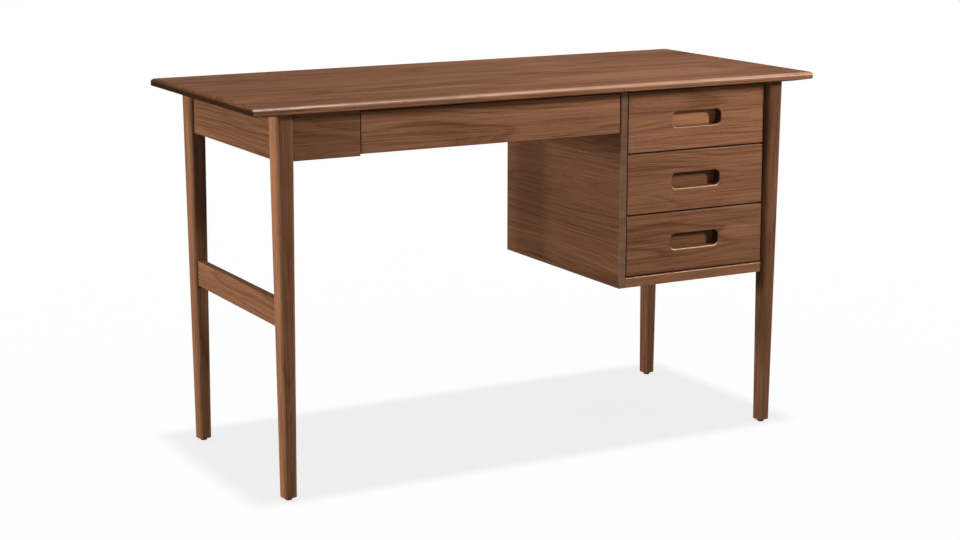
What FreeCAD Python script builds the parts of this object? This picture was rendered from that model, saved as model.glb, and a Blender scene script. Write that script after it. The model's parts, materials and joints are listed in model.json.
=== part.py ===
import FreeCAD, Part
import os
import Sketcher

# Walnut writing desk with one pedestal of three drawers and a pencil drawer over the kneehole.
# +X runs to the right, +Y to the back and +Z up; the origin is on the floor under the middle.

# Driving dimensions in millimetres, apart from the plain shares
SIZES = {
    # Whole desk
    "desk_width": 1219,
    "desk_depth": 533,
    "desk_height": 737,
    # Top: an upright edge with a rounded upper arris, over a shallow under-bevel
    "top_thickness": 20,
    "top_edge_height": 14,
    "top_bevel_reach": 28,
    "top_corner_round": 4,
    "top_edge_round": 9,
    # Legs, tapered on all four faces
    "end_overhang": 52,
    "front_overhang": 30,
    "leg_top_width": 38,
    "leg_foot_width": 28,
    "leg_round": 10,
    "glide_diameter": 14,
    "glide_height": 6,
    "glide_chamfer": 1,
    "glide_stem_diameter": 6,
    "glide_stem_length": 14,
    # Rails between the legs, and their tenons
    "apron_setback": 12,
    "apron_thickness": 20,
    "apron_height": 85,
    "stretcher_thickness": 16,
    "stretcher_height": 51,
    "tenon_thickness": 8,
    "tenon_shoulder": 12,
    "mortise_wall": 1.5,
    "front_panel_width": 133.5,
    "divider_thickness": 16,
    "divider_rise": 5,
    # Pedestal case
    "pedestal_width": 344.5,
    "pedestal_height": 393,
    "case_side_thickness": 16,
    "case_bottom_thickness": 20,
    "case_back_thickness": 8,
    "case_back_inset": 4,
    "rail_width": 60,
    "rail_thickness": 16,
    "housing_depth": 5,
    # Drawer fronts and their finger slots
    "front_thickness": 20,
    "front_gap": 3.5,
    "reveal": 2,
    "pencil_front_rise": 3.5,
    "slot_width": 115,
    "slot_height": 31,
    "slot_round_share": 0.34,
    "slot_bevel": 2.5,
    "relief_depth": 10,
    "relief_rise": 8,
    # Drawer boxes
    "box_side_thickness": 12,
    "box_end_thickness": 12,
    "box_side_gap": 3,
    "box_lift": 16,
    "box_back_room": 23,
    "pencil_box_lift": 18,
    "pencil_top_room": 12,
    "bottom_thickness": 6,
    "groove_depth": 5,
    "groove_rise": 8,
    "pin_share": 0.2,
    "dovetail_slope_share": 0.17,
    # Runners, guides and stops
    "runner_width": 20,
    "running_gap": 0.3,
    "kick_gap": 3.5,
    "pencil_runner_height": 14,
    "guide_height": 30,
    "stop_length": 12,
    "stop_height": 20,
    # Fixings
    "cleat_section": 18,
    "screw_diameter": 4,
    "screw_head_diameter": 8,
    "screw_head_height": 2.5,
    "screw_bite": 12,
    "front_screw_share": 0.36,
    # Small sizes that many pieces share
    "edge_round": 1.5,
    "fit_gap": 0.2,
    "overrun": 5,
}

PEDESTAL_DRAWERS = ("bottom_drawer", "middle_drawer", "top_drawer")
DRAWER_COUNT = len(PEDESTAL_DRAWERS)

# Places worked out from the driving dimensions
PLACES = {
    "underside": "sizes.desk_height - sizes.top_thickness",
    "top_edge_low": "sizes.desk_height - sizes.top_edge_height",
    "leg_x": "sizes.desk_width / 2 - sizes.end_overhang - sizes.leg_top_width / 2",
    "leg_y": "sizes.desk_depth / 2 - sizes.front_overhang - sizes.leg_top_width / 2",
    "leg_inner_x": "leg_x - sizes.leg_top_width / 2",
    "leg_inner_y": "leg_y - sizes.leg_top_width / 2",
    "rail_outer_x": "leg_x + sizes.leg_top_width / 2 - sizes.apron_setback",
    "rail_outer_y": "leg_y + sizes.leg_top_width / 2 - sizes.apron_setback",
    "front_face": "-rail_outer_y",
    "front_back": "front_face + sizes.front_thickness",
    "apron_inner_y": "rail_outer_y - sizes.apron_thickness",
    "apron_bottom": "underside - sizes.apron_height",
    "tenon_length": "sizes.leg_top_width - sizes.apron_setback - sizes.mortise_wall"
                    " - (sizes.apron_thickness + sizes.tenon_thickness) / 2",
    "pedestal_bottom": "underside - sizes.pedestal_height",
    "stretcher_top": "pedestal_bottom + sizes.stretcher_height",
    "case_floor": "pedestal_bottom + sizes.case_bottom_thickness",
    "case_left": "leg_inner_x - sizes.pedestal_width",
    "case_inside": "case_left + sizes.case_side_thickness",
    "case_right": "rail_outer_x - sizes.case_side_thickness",
    "case_back_rear": "rail_outer_y - sizes.case_back_inset",
    "case_back_front": "case_back_rear - sizes.case_back_thickness",
    "rail_low": "underside - sizes.rail_thickness",
    "rail_end_y": "leg_inner_y - sizes.fit_gap",
    "rail_near_y": "rail_end_y - sizes.rail_width",
    "panel_end": "sizes.front_panel_width - leg_inner_x",
    "divider_left": "panel_end - sizes.divider_thickness",
    "front_height": f"(underside - case_floor - {DRAWER_COUNT + 1} * sizes.front_gap) / {DRAWER_COUNT}",
    "front_pitch": "front_height + sizes.front_gap",
    "front_left": "case_inside + sizes.reveal",
    "slot_middle": "(front_left + leg_inner_x - sizes.reveal) / 2",
    "slot_round": "sizes.slot_height * sizes.slot_round_share",
    "box_left": "case_inside + sizes.box_side_gap",
    "box_right": "leg_inner_x - sizes.box_side_gap",
    "box_back": "leg_inner_y - sizes.box_back_room",
    "box_height": "rail_low - sizes.kick_gap - sizes.box_lift"
                  f" - case_floor - sizes.front_gap - {DRAWER_COUNT - 1} * front_pitch",
    "pencil_low": "apron_bottom + sizes.pencil_front_rise",
    "pencil_top": "underside - sizes.front_gap",
    "pencil_left": "panel_end + sizes.reveal",
    "pencil_right": "case_left - sizes.reveal",
    "pencil_box_left": "panel_end + sizes.box_side_gap",
    "pencil_box_right": "case_left - sizes.box_side_gap",
    "pencil_box_low": "pencil_low + sizes.pencil_box_lift",
    "pencil_box_height": "underside - sizes.pencil_top_room - pencil_box_low",
    "stop_near": "box_back + sizes.running_gap",
    "stop_far": "stop_near + sizes.stop_length",
    "cleat_low": "underside - sizes.cleat_section",
    "cleat_left": "sizes.apron_thickness - rail_outer_x",
    "cleat_right": "cleat_left + sizes.cleat_section",
    "cleat_near_y": "apron_inner_y - sizes.cleat_section",
}

# Sketch plane for each direction a sketch can face, and the sense of that plane's normal
FACING = {"x": ("YZ_Plane", 1), "y": ("XZ_Plane", -1), "z": ("XY_Plane", 1)}

# How near a corner is to a level it lies on, and how much of a steep edge's length is along its axis
FLAT = 1e-6
STEEP_SHARE = 0.9

# Screws and their holes have few sides, because there are many of them
SCREW_SIDES = 12

# Turns a piece that points up so that it points to the front
TO_FRONT = FreeCAD.Rotation(FreeCAD.Vector(1, 0, 0), 90)

# The legs, and the side of the desk that each stands on along X and Y
LEGS = {"leg_front_left": (-1, -1), "leg_back_left": (-1, 1),
        "leg_front_right": (1, -1), "leg_back_right": (1, 1)}

doc = FreeCAD.newDocument("writing_desk")
nodes = []

# Joints that other pieces ask for, cut once all of them are known
mortises = {label: [] for label in LEGS}
left_housings = []
right_housings = []
top_holes = []
top_screws = []


# Sheets and small helpers

def fill_sheet(name, cells):
    """One spreadsheet row for each name: the name itself and what its cell holds."""
    sheet = doc.addObject("Spreadsheet::Sheet", name)
    for row, (alias, content) in enumerate(cells.items(), 1):
        sheet.set(f"A{row}", alias)
        sheet.set(f"B{row}", content)
        sheet.setAlias(f"B{row}", alias)
    doc.recompute()
    return sheet


fill_sheet("sizes", {alias: str(number) for alias, number in SIZES.items()})
places = fill_sheet("places", {alias: "=" + formula for alias, formula in PLACES.items()})


def value(expression):
    """The present value of an expression on the two sheets."""
    return float(places.evalExpression(expression))


def grown(span):
    """A span with the fit gap added at both ends."""
    low, high = span
    return f"({low}) - sizes.fit_gap", f"({high}) + sizes.fit_gap"


def mirrored(side, near, far):
    """The span from near to far on the positive side, or its mirror image."""
    return (near, far) if side > 0 else (f"-({far})", f"-({near})")


def about(middle, width):
    """The span of a width about its middle."""
    return f"({middle}) - ({width}) / 2", f"({middle}) + ({width}) / 2"


def mirrored_span(far):
    """A span of equal reach to both sides of the middle."""
    return f"-({far})", far


def offset_span(start, side, length):
    """The span of a length to one side of a place."""
    return (start, f"{start} + {length}") if side > 0 else (f"{start} - {length}", start)


def middle_of(span):
    """The place halfway along a span."""
    low, high = span
    return f"(({low}) + ({high})) / 2"


def node(label, thing):
    """Name a finished sub-part."""
    thing.Label = label
    nodes.append(thing)


def bind(thing, expressions):
    """Bind a piece's properties to the sheets."""
    for name, expression in expressions.items():
        thing.setExpression(name, expression)


def set_place(thing, x, y, z, rotation=None):
    """Bind a piece's place to the sheets, after any turn."""
    if rotation:
        thing.Placement.Rotation = rotation
    bind(thing, {"Placement.Base.x": x, "Placement.Base.y": y, "Placement.Base.z": z})


# Plain shapes and their combinations

def box(label, x, y, z):
    """A square-cut block that fills a span along each axis."""
    block = doc.addObject("Part::Box", label)
    set_place(block, x[0], y[0], z[0])
    bind(block, {side: f"({high}) - ({low})"
                 for side, (low, high) in zip(("Length", "Width", "Height"), (x, y, z))})
    return block


def cylinder(label, diameter, length, x, y, z):
    """A round bar that points up from a place."""
    bar = doc.addObject("Part::Cylinder", label)
    bind(bar, {"Radius": f"({diameter}) / 2", "Height": length})
    set_place(bar, x, y, z)
    return bar


def prism(label, diameter, length, x, y, z, rotation=None):
    """A many-sided bar that points up from a place, or along a turned axis."""
    bar = doc.addObject("Part::Prism", label)
    bar.Polygon = SCREW_SIDES
    bind(bar, {"Circumradius": f"({diameter}) / 2", "Height": length})
    set_place(bar, x, y, z, rotation)
    return bar


def group(label, things):
    """Several separate solids kept together."""
    compound = doc.addObject("Part::Compound", label)
    compound.Links = things
    return compound


def cut(label, base, tools):
    """A piece with the tools' shapes taken away."""
    result = doc.addObject("Part::Cut", label)
    result.Base = base
    result.Tool = tools[0] if len(tools) == 1 else group(label + "_tools", tools)
    return result


def fuse(label, things):
    """Blocks that make up one solid."""
    result = doc.addObject("Part::MultiFuse", label)
    result.Shapes = things
    return result


# Sketches and solid features

def new_body(label):
    return doc.addObject("PartDesign::Body", label)


def attach(feature, body, role):
    """Lay a sketch or a primitive on one of its own body's origin planes."""
    plane = next(item for item in body.Origin.OriginFeatures if item.Role == role)
    feature.AttachmentSupport = [(plane, "")]
    feature.MapMode = "FlatFace"


def rectangle(across, up):
    """The corners of the rectangle that fills a span each way."""
    return [(across[0], up[0]), (across[1], up[0]), (across[1], up[1]), (across[0], up[1])]


def sketch(body, facing, level, corners):
    """A closed outline of straight lines, with every corner bound to the sheets."""
    role, sense = FACING[facing]
    drawing = body.newObject("Sketcher::SketchObject", "outline")
    attach(drawing, body, role)
    drawing.setExpression("AttachmentOffset.Base.z", f"{sense} * ({level})")
    points = [FreeCAD.Vector(value(across), value(up), 0) for across, up in corners]
    for first, second in zip(points, points[1:] + points[:1]):
        drawing.addGeometry(Part.LineSegment(first, second), False)
    for line, (point, corner) in enumerate(zip(points, corners)):
        previous = (line - 1) % len(points)
        drawing.addConstraint(Sketcher.Constraint("Coincident", previous, 2, line, 1))
        for kind, place, expression in zip(("DistanceX", "DistanceY"), point, corner):
            number = drawing.addConstraint(Sketcher.Constraint(kind, -1, 1, line, 1, place))
            drawing.setExpression(f"Constraints[{number}]", expression)
    return drawing


def pad(body, facing, span, corners):
    """Fill an outline from one level to another."""
    low, high = span
    outline = sketch(body, facing, low, corners)
    feature = body.newObject("PartDesign::Pad", "pad")
    feature.Profile = outline
    feature.setExpression("Length", f"({high}) - ({low})")
    feature.Reversed = FACING[facing][1] < 0
    return feature


def pocket(body, level, depth, corners, to_front=False):
    """Cut an outline into a drawer front, from its face inwards or from its back to the front."""
    outline = sketch(body, "y", level, corners)
    feature = body.newObject("PartDesign::Pocket", "pocket")
    feature.Profile = outline
    feature.setExpression("Length", depth)
    feature.Reversed = to_front
    return feature


def taper(body, z, low, high):
    """A block that changes evenly from one rectangle, as spans along X and Y, to another above it."""
    feature = body.newObject("PartDesign::AdditiveWedge", "taper")
    attach(feature, body, "XZ_Plane")
    # On that plane the wedge's own second axis points up and its third to the front
    low_front, high_front = [(f"-({y[1]})", f"-({y[0]})") for x, y in (low, high)]
    bind(feature, {"Ymin": z[0], "Ymax": z[1],
                   "Xmin": low[0][0], "Xmax": low[0][1], "Zmin": low_front[0], "Zmax": low_front[1],
                   "X2min": high[0][0], "X2max": high[0][1], "Z2min": high_front[0], "Z2max": high_front[1]})
    return feature


def turned(label, profile, x, y, z):
    """A round piece turned from half its outline."""
    body = new_body(label)
    outline = sketch(body, "y", "0", profile)
    feature = body.newObject("PartDesign::Revolution", "turning")
    feature.Profile = outline
    feature.ReferenceAxis = (outline, ["V_Axis"])
    feature.Angle = 360
    set_place(body, x, y, z)
    return body


def eased(body, base, kind, wanted):
    """A fillet or a chamfer on the edges of the base feature that pass the test."""
    doc.recompute()
    names = [f"Edge{number}" for number, edge in enumerate(base.Shape.Edges, 1) if wanted(edge)]
    feature = body.newObject("PartDesign::" + kind, kind)
    feature.Base = (base, names)
    return feature


def fillet(body, base, radius, wanted):
    """Round the edges of the base feature that pass the test."""
    feature = eased(body, base, "Fillet", wanted)
    feature.setExpression("Radius", radius)
    return feature


def chamfer(body, base, width, wanted):
    """Bevel the edges of the base feature that pass the test."""
    feature = eased(body, base, "Chamfer", wanted)
    feature.setExpression("Size", width)
    return feature


def lies_at(edge, axis, expression):
    """Whether the whole edge lies at one place along an axis."""
    place = value(expression)
    return all(abs(getattr(vertex.Point, axis) - place) < FLAT for vertex in edge.Vertexes)


def lies_within(edge, x, z):
    """Whether an edge's middle lies in a span along X and in a span along Z."""
    middle = edge.CenterOfMass
    return all(value(low) - FLAT < place < value(high) + FLAT
               for place, (low, high) in ((middle.x, x), (middle.z, z)))


def runs_along(edge, axis):
    """Whether an edge runs along an axis, give or take a leg's taper."""
    span = edge.Vertexes[-1].Point - edge.Vertexes[0].Point
    return abs(getattr(span, axis)) > STEEP_SHARE * edge.Length


# Legs: their taper is needed by everything that meets them

def leg_half(level):
    """Half a leg's width at a level, by its straight taper."""
    widening = "(sizes.leg_top_width - sizes.leg_foot_width)"
    rise_share = f"(({level}) - sizes.glide_height) / (places.underside - sizes.glide_height)"
    return f"((sizes.leg_foot_width + {widening} * {rise_share}) / 2)"


def shoulder_x(level):
    """How far from the middle the legs' inner faces stand at a level, along X."""
    return f"(places.leg_x - {leg_half(level)})"


def shoulder_y(level):
    """How far from the middle the legs' inner faces stand at a level, along Y."""
    return f"(places.leg_y - {leg_half(level)})"


def make_leg(label, side_x, side_y):
    """A leg tapered on four faces, with its mortises and the hole for its glide."""
    body = new_body(label + "_blank")
    middle_x = f"{side_x} * places.leg_x"
    middle_y = f"{side_y} * places.leg_y"
    foot, head = [(about(middle_x, width), about(middle_y, width))
                  for width in ("sizes.leg_foot_width", "sizes.leg_top_width")]
    blank = taper(body, ("sizes.glide_height", "places.underside"), foot, head)
    fillet(body, blank, "sizes.leg_round", lambda edge: runs_along(edge, "z"))
    stem_hole = cylinder(label + "_stem_hole", "sizes.glide_stem_diameter + 2 * sizes.fit_gap",
                         "sizes.overrun + sizes.glide_stem_length + sizes.fit_gap",
                         middle_x, middle_y, "sizes.glide_height - sizes.overrun")
    node(label, cut(label, body, mortises[label] + [stem_hole]))


def make_glides():
    """A turned glide with a stem under every leg."""
    stem_top = "sizes.glide_height + sizes.glide_stem_length"
    profile = [("0", "0"),
               ("sizes.glide_diameter / 2 - sizes.glide_chamfer", "0"),
               ("sizes.glide_diameter / 2", "sizes.glide_chamfer"),
               ("sizes.glide_diameter / 2", "sizes.glide_height"),
               ("sizes.glide_stem_diameter / 2", "sizes.glide_height"),
               ("sizes.glide_stem_diameter / 2", stem_top),
               ("0", stem_top)]
    glides = [turned("glide", profile, f"{side_x} * places.leg_x", f"{side_y} * places.leg_y", "0")
              for side_x, side_y in LEGS.values()]
    node("leg_glides", group("leg_glides", glides))


# Rails between the legs

def tenon_height(z):
    """The span of a tenon between its upper and lower shoulders."""
    low, high = z
    return f"({low}) + sizes.tenon_shoulder", f"({high}) - sizes.tenon_shoulder"


def end_rail(label, side, thickness, z):
    """A rail between the front and back legs of one end, tenoned into both."""
    low, high = z
    foot = shoulder_y(low)
    head = shoulder_y(high)
    body = new_body(label + "_blank")
    faces = mirrored(side, f"places.rail_outer_x - {thickness}", "places.rail_outer_x")
    board = pad(body, "x", faces, [(f"-{foot}", low), (foot, low), (head, high), (f"-{head}", high)])
    fillet(body, board, "sizes.edge_round",
           lambda edge: runs_along(edge, "y") and not lies_at(edge, "z", "places.underside"))
    tenon_x = about(middle_of(faces), "sizes.tenon_thickness")
    tenon_z = tenon_height(z)
    end = f"({head} + places.tenon_length)"
    pad(body, "x", tenon_x, rectangle((f"-{end}", end), tenon_z))
    for leg, (side_x, side_y) in LEGS.items():
        if side_x == side:
            depth = mirrored(side_y, f"{head} - sizes.overrun", f"{end} + sizes.fit_gap")
            mortises[leg].append(box(label + "_mortise", grown(tenon_x), depth, grown(tenon_z)))
    return body


def cross_rail(label, leg, faces, end, tongue_end):
    """A rail from a left leg, where it is tenoned, to a square end with a tongue or none."""
    z = ("places.apron_bottom", "places.underside")
    low, high = z
    foot = shoulder_x(low)
    head = shoulder_x(high)
    body = new_body(label)
    board = pad(body, "y", faces, [(f"-{foot}", low), (end, low), (end, high), (f"-{head}", high)])
    fillet(body, board, "sizes.edge_round", lambda edge: lies_at(edge, "z", low) and runs_along(edge, "x"))
    tenon_y = about(middle_of(faces), "sizes.tenon_thickness")
    tenon_z = tenon_height(z)
    tenon_end = f"({head} + places.tenon_length)"
    pad(body, "y", tenon_y, rectangle((f"-{tenon_end}", tongue_end), tenon_z))
    depth = mirrored(-1, f"{head} - sizes.overrun", f"{tenon_end} + sizes.fit_gap")
    mortises[leg].append(box(label + "_mortise", depth, grown(tenon_y), grown(tenon_z)))
    node(label, body)
    return grown(tenon_y), grown(tenon_z)


def make_left_end():
    """The apron and the stretcher between the left legs."""
    for label, thickness, z in (
            ("side_apron_left", "sizes.apron_thickness", ("places.apron_bottom", "places.underside")),
            ("side_stretcher_left", "sizes.stretcher_thickness",
             ("places.pedestal_bottom", "places.stretcher_top"))):
        node(label, end_rail(label, -1, thickness, z))


def make_kneehole_rails():
    """The back apron, the short front panel and the board behind it that carries the pencil drawer."""
    tongue_end = "places.case_left + sizes.housing_depth"
    tongue = cross_rail("back_apron", "leg_back_left", ("places.apron_inner_y", "places.rail_outer_y"),
                        "places.case_left", tongue_end)
    housing_x = ("places.case_left - sizes.overrun", f"{tongue_end} + sizes.fit_gap")
    left_housings.append(box("back_apron_housing", housing_x, *tongue))
    cross_rail("front_panel_left", "leg_front_left", ("places.front_face", "-places.apron_inner_y"),
               "places.panel_end", "places.panel_end")
    node("drawer_divider", box("drawer_divider", ("places.divider_left", "places.panel_end"),
                               ("-places.apron_inner_y", "places.apron_inner_y"),
                               ("places.apron_bottom + sizes.divider_rise", "places.underside")))


# Pedestal case

def make_case_bottom():
    """The bottom board, notched round the right legs and tongued into both side panels."""
    z = ("places.pedestal_bottom", "places.case_floor")
    y = ("places.front_face", "places.case_back_front")
    tongue_z = about(middle_of(z), "sizes.tenon_thickness")
    tongue_y = mirrored_span("places.leg_inner_y - sizes.tenon_shoulder")
    body = new_body("case_bottom_board")
    board = pad(body, "z", z, rectangle(("places.case_inside", "places.case_right"), y))
    fillet(body, board, "sizes.edge_round", lambda edge: lies_at(edge, "y", "places.front_face")
           and runs_along(edge, "x"))
    pieces = [body]
    for side, housings in ((-1, left_housings), (1, right_housings)):
        panel_face = "places.case_inside" if side < 0 else "places.case_right"
        tongue_x = offset_span(panel_face, side, "sizes.housing_depth")
        pieces.append(box("case_bottom_tongue", tongue_x, tongue_y, tongue_z))
        housings.append(box("case_bottom_housing", grown(tongue_x), grown(tongue_y), grown(tongue_z)))
    notches = []
    notch_x = (f"{shoulder_x('places.case_floor')} - sizes.fit_gap", "places.case_right + sizes.overrun")
    for side in (-1, 1):
        notch_y = mirrored(side, f"{shoulder_y('places.case_floor')} - sizes.fit_gap",
                           "places.rail_outer_y + sizes.overrun")
        notches.append(box("case_bottom_notch", notch_x, notch_y, grown(z)))
    node("case_bottom", cut("case_bottom", fuse("case_bottom_blank", pieces), notches))


def make_case_rails():
    """The flat rails under the top, housed in both side panels and screwed up into the top."""
    for label, side in (("case_front_rail", -1), ("case_back_rail", 1)):
        x = ("places.case_inside - sizes.housing_depth", "places.case_right + sizes.housing_depth")
        y = mirrored(side, "places.rail_near_y", "places.rail_end_y")
        z = ("places.rail_low", "places.underside")
        housing_z = ("places.rail_low - sizes.fit_gap", "places.underside + sizes.overrun")
        for housings, panel_face, hand in ((left_housings, "places.case_inside", -1),
                                           (right_housings, "places.case_right", 1)):
            housing_x = grown(offset_span(panel_face, hand, "sizes.housing_depth"))
            housings.append(box(label + "_housing", housing_x, grown(y), housing_z))
        screwed_up(label, [(box(label + "_blank", x, y, z), x, y, z, "x", 2)])


def make_case_back():
    """The thin back panel, in grooves in the left panel and the back right leg."""
    left = "places.case_inside - sizes.housing_depth"
    right = "places.leg_inner_x + sizes.housing_depth"
    y = ("places.case_back_front", "places.case_back_rear")
    z = ("places.pedestal_bottom", "places.underside")
    node("case_back", box("case_back", (left, right), y, z))
    groove_z = ("places.pedestal_bottom - sizes.fit_gap", "places.underside + sizes.overrun")
    panel_groove_x = (f"{left} - sizes.fit_gap", "places.case_inside + sizes.overrun")
    left_housings.append(box("case_back_groove", panel_groove_x, grown(y), groove_z))
    leg_groove_x = ("places.leg_inner_x - sizes.overrun", f"{right} + sizes.fit_gap")
    mortises["leg_back_right"].append(box("case_back_groove", leg_groove_x, grown(y), groove_z))


def make_case_sides():
    """The full left panel, and the right panel tenoned between the right legs."""
    z = ("places.pedestal_bottom", "places.underside")
    body = new_body("case_left_board")
    board = pad(body, "x", ("places.case_left", "places.case_inside"),
                rectangle(("places.front_face", "places.rail_outer_y"), z))
    fillet(body, board, "sizes.edge_round", lambda edge: lies_at(edge, "z", "places.pedestal_bottom")
           or (lies_at(edge, "y", "places.front_face") and runs_along(edge, "z")))
    node("case_left_panel", cut("case_left_panel", body, left_housings))
    right = end_rail("case_right_panel", 1, "sizes.case_side_thickness", z)
    node("case_right_panel", cut("case_right_panel", right, right_housings))


# Drawers

def front_low(number):
    """The lower edge of a pedestal front, counted from the bottom."""
    return f"(places.case_floor + sizes.front_gap + {number} * places.front_pitch)"


def box_low(number):
    """The lower edge of a pedestal drawer's box."""
    return f"({front_low(number)} + sizes.box_lift)"


def make_pedestal_front(label, number, screw_holes):
    """A front scribed to the leg's taper, with a finger slot that is relieved behind its upper edge."""
    low = front_low(number)
    high = f"({low} + places.front_height)"
    body = new_body(label + "_board")
    board = pad(body, "y", ("places.front_face", "places.front_back"),
                [("places.front_left", low), (f"{shoulder_x(low)} - sizes.reveal", low),
                 (f"{shoulder_x(high)} - sizes.reveal", high), ("places.front_left", high)])
    fillet(body, board, "sizes.edge_round", lambda edge: lies_at(edge, "y", "places.front_face"))
    slot_x = about("places.slot_middle", "sizes.slot_width")
    slot_z = about(middle_of((low, high)), "sizes.slot_height")
    slot = pocket(body, "places.front_face", "sizes.front_thickness", rectangle(slot_x, slot_z))
    rounded = fillet(body, slot, "places.slot_round",
                     lambda edge: runs_along(edge, "y") and lies_within(edge, slot_x, slot_z))
    chamfer(body, rounded, "sizes.slot_bevel",
            lambda edge: lies_at(edge, "y", "places.front_face") and lies_within(edge, slot_x, slot_z))
    relief_x = about("places.slot_middle", "sizes.slot_width - 2 * places.slot_round")
    relief_z = (middle_of(slot_z), f"{slot_z[1]} + sizes.relief_rise")
    pocket(body, "places.front_back", "sizes.relief_depth", rectangle(relief_x, relief_z), to_front=True)
    node(label, cut(label, body, screw_holes))


def make_pencil_front(label, screw_holes):
    """The plain wide front, whose lower edge hangs below its box for the fingers."""
    x = ("places.pencil_left", "places.pencil_right")
    z = ("places.pencil_low", "places.pencil_top")
    body = new_body(label + "_board")
    board = pad(body, "y", ("places.front_face", "places.front_back"), rectangle(x, z))
    fillet(body, board, "sizes.edge_round", lambda edge: lies_at(edge, "y", "places.front_face")
           or (lies_at(edge, "z", "places.pencil_low") and runs_along(edge, "x")))
    node(label, cut(label, body, screw_holes))


def dovetail_pins(label, x, z, tails):
    """The pins of both ends of a box, as wedges right across it that notch its sides into tails."""
    pitch = f"(({z[1]}) - ({z[0]})) / {tails}"
    narrow = f"{pitch} * sizes.pin_share / 2"
    wide = f"{narrow} + sizes.box_end_thickness * sizes.dovetail_slope_share"
    ends = (("places.front_back", "places.front_back + sizes.box_end_thickness", narrow, wide),
            ("places.box_back - sizes.box_end_thickness", "places.box_back", wide, narrow))
    pins = []
    for near, far, near_half, far_half in ends:
        for number in range(tails + 1):
            level = f"{z[0]} + {number} * {pitch}"
            pin = doc.addObject("Part::Wedge", label + "_pin")
            bind(pin, {"Xmin": x[0], "Xmax": x[1], "X2min": x[0], "X2max": x[1], "Ymin": near, "Ymax": far,
                       "Zmin": f"{level} - ({near_half})", "Zmax": f"{level} + {near_half}",
                       "Z2min": f"{level} - ({far_half})", "Z2max": f"{level} + {far_half}"})
            pins.append(pin)
    return pins


def make_box(label, x, z, tails, screw_holes):
    """A drawer box: dovetailed sides, front and back round a bottom held in a groove."""
    left, right = x
    y = ("places.front_back", "places.box_back")
    inner = ("places.front_back + sizes.box_end_thickness", "places.box_back - sizes.box_end_thickness")
    pins = dovetail_pins(label, x, z, tails)
    bottom_z = offset_span(f"{z[0]} + sizes.groove_rise", 1, "sizes.bottom_thickness")
    groove_x = (f"{left} + sizes.box_side_thickness - sizes.groove_depth",
                f"{right} - sizes.box_side_thickness + sizes.groove_depth")
    groove_y = (f"{inner[0]} - sizes.groove_depth", f"{inner[1]} + sizes.groove_depth")
    groove = box(label + "_groove", groove_x, groove_y, (bottom_z[0], f"{bottom_z[1]} + sizes.fit_gap"))
    sides = []
    for hand, side_x in (("left", offset_span(left, 1, "sizes.box_side_thickness")),
                         ("right", offset_span(right, -1, "sizes.box_side_thickness"))):
        tailed = cut(f"{label}_{hand}_tails", box(f"{label}_{hand}_blank", side_x, y, z), pins)
        sides.append(tailed)
        node(f"{label}_{hand}_side", cut(f"{label}_{hand}_side", tailed, [groove]))
    for end, end_y, holes in (("box_front", (y[0], inner[0]), screw_holes), ("back", (inner[1], y[1]), [])):
        pinned = cut(f"{label}_{end}_pins", box(f"{label}_{end}_blank", x, end_y, z), sides)
        node(f"{label}_{end}", cut(f"{label}_{end}", pinned, [groove] + holes))
    panel = [(f"{low} + sizes.fit_gap", f"{high} - sizes.fit_gap") for low, high in (groove_x, groove_y)]
    node(f"{label}_bottom", box(f"{label}_bottom", *panel, bottom_z))


def screw_and_hole(label, length, x, y, z, rotation=None):
    """A pan-head screw that points up from under its head, or to the front, and its clearance hole."""
    hole_length = f"{length} + sizes.fit_gap + sizes.overrun"
    if rotation:
        head_at = (x, f"{y} + sizes.screw_head_height", z)
        hole_at = (x, f"{y} + sizes.overrun", z)
    else:
        head_at = (x, y, f"{z} - sizes.screw_head_height")
        hole_at = (x, y, f"{z} - sizes.overrun")
    head = prism(label + "_head", "sizes.screw_head_diameter", "sizes.screw_head_height", *head_at, rotation)
    shank = prism(label + "_shank", "sizes.screw_diameter", length, x, y, z, rotation)
    hole = prism(label + "_hole", "sizes.screw_diameter + 2 * sizes.fit_gap", hole_length, *hole_at, rotation)
    return fuse(label, [head, shank]), hole


def make_front_screws(label, x, z):
    """Two screws from inside the box into the drawer front, and their holes."""
    length = "(sizes.box_end_thickness + sizes.screw_bite)"
    head_y = "places.front_back + sizes.box_end_thickness"
    screws = []
    holes = []
    for side in (-1, 1):
        place_x = f"{middle_of(x)} + {side} * sizes.front_screw_share * (({x[1]}) - ({x[0]}))"
        screw, hole = screw_and_hole("front_screw", length, place_x, head_y, middle_of(z), TO_FRONT)
        screws.append(screw)
        holes.append(hole)
    node(f"{label}_front_screws", group(f"{label}_front_screws", screws))
    return holes


def make_drawers():
    """The pencil drawer and the three pedestal drawers."""
    x = ("places.pencil_box_left", "places.pencil_box_right")
    z = ("places.pencil_box_low", "(places.pencil_box_low + places.pencil_box_height)")
    holes = make_front_screws("pencil_drawer", x, z)
    make_pencil_front("pencil_drawer_front", holes)
    make_box("pencil_drawer", x, z, 2, holes)
    x = ("places.box_left", "places.box_right")
    for number, label in enumerate(PEDESTAL_DRAWERS):
        z = (box_low(number), f"({box_low(number)} + places.box_height)")
        holes = make_front_screws(label, x, z)
        make_pedestal_front(label + "_front", number, holes)
        make_box(label, x, z, 3, holes)


# What the drawers run on

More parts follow.
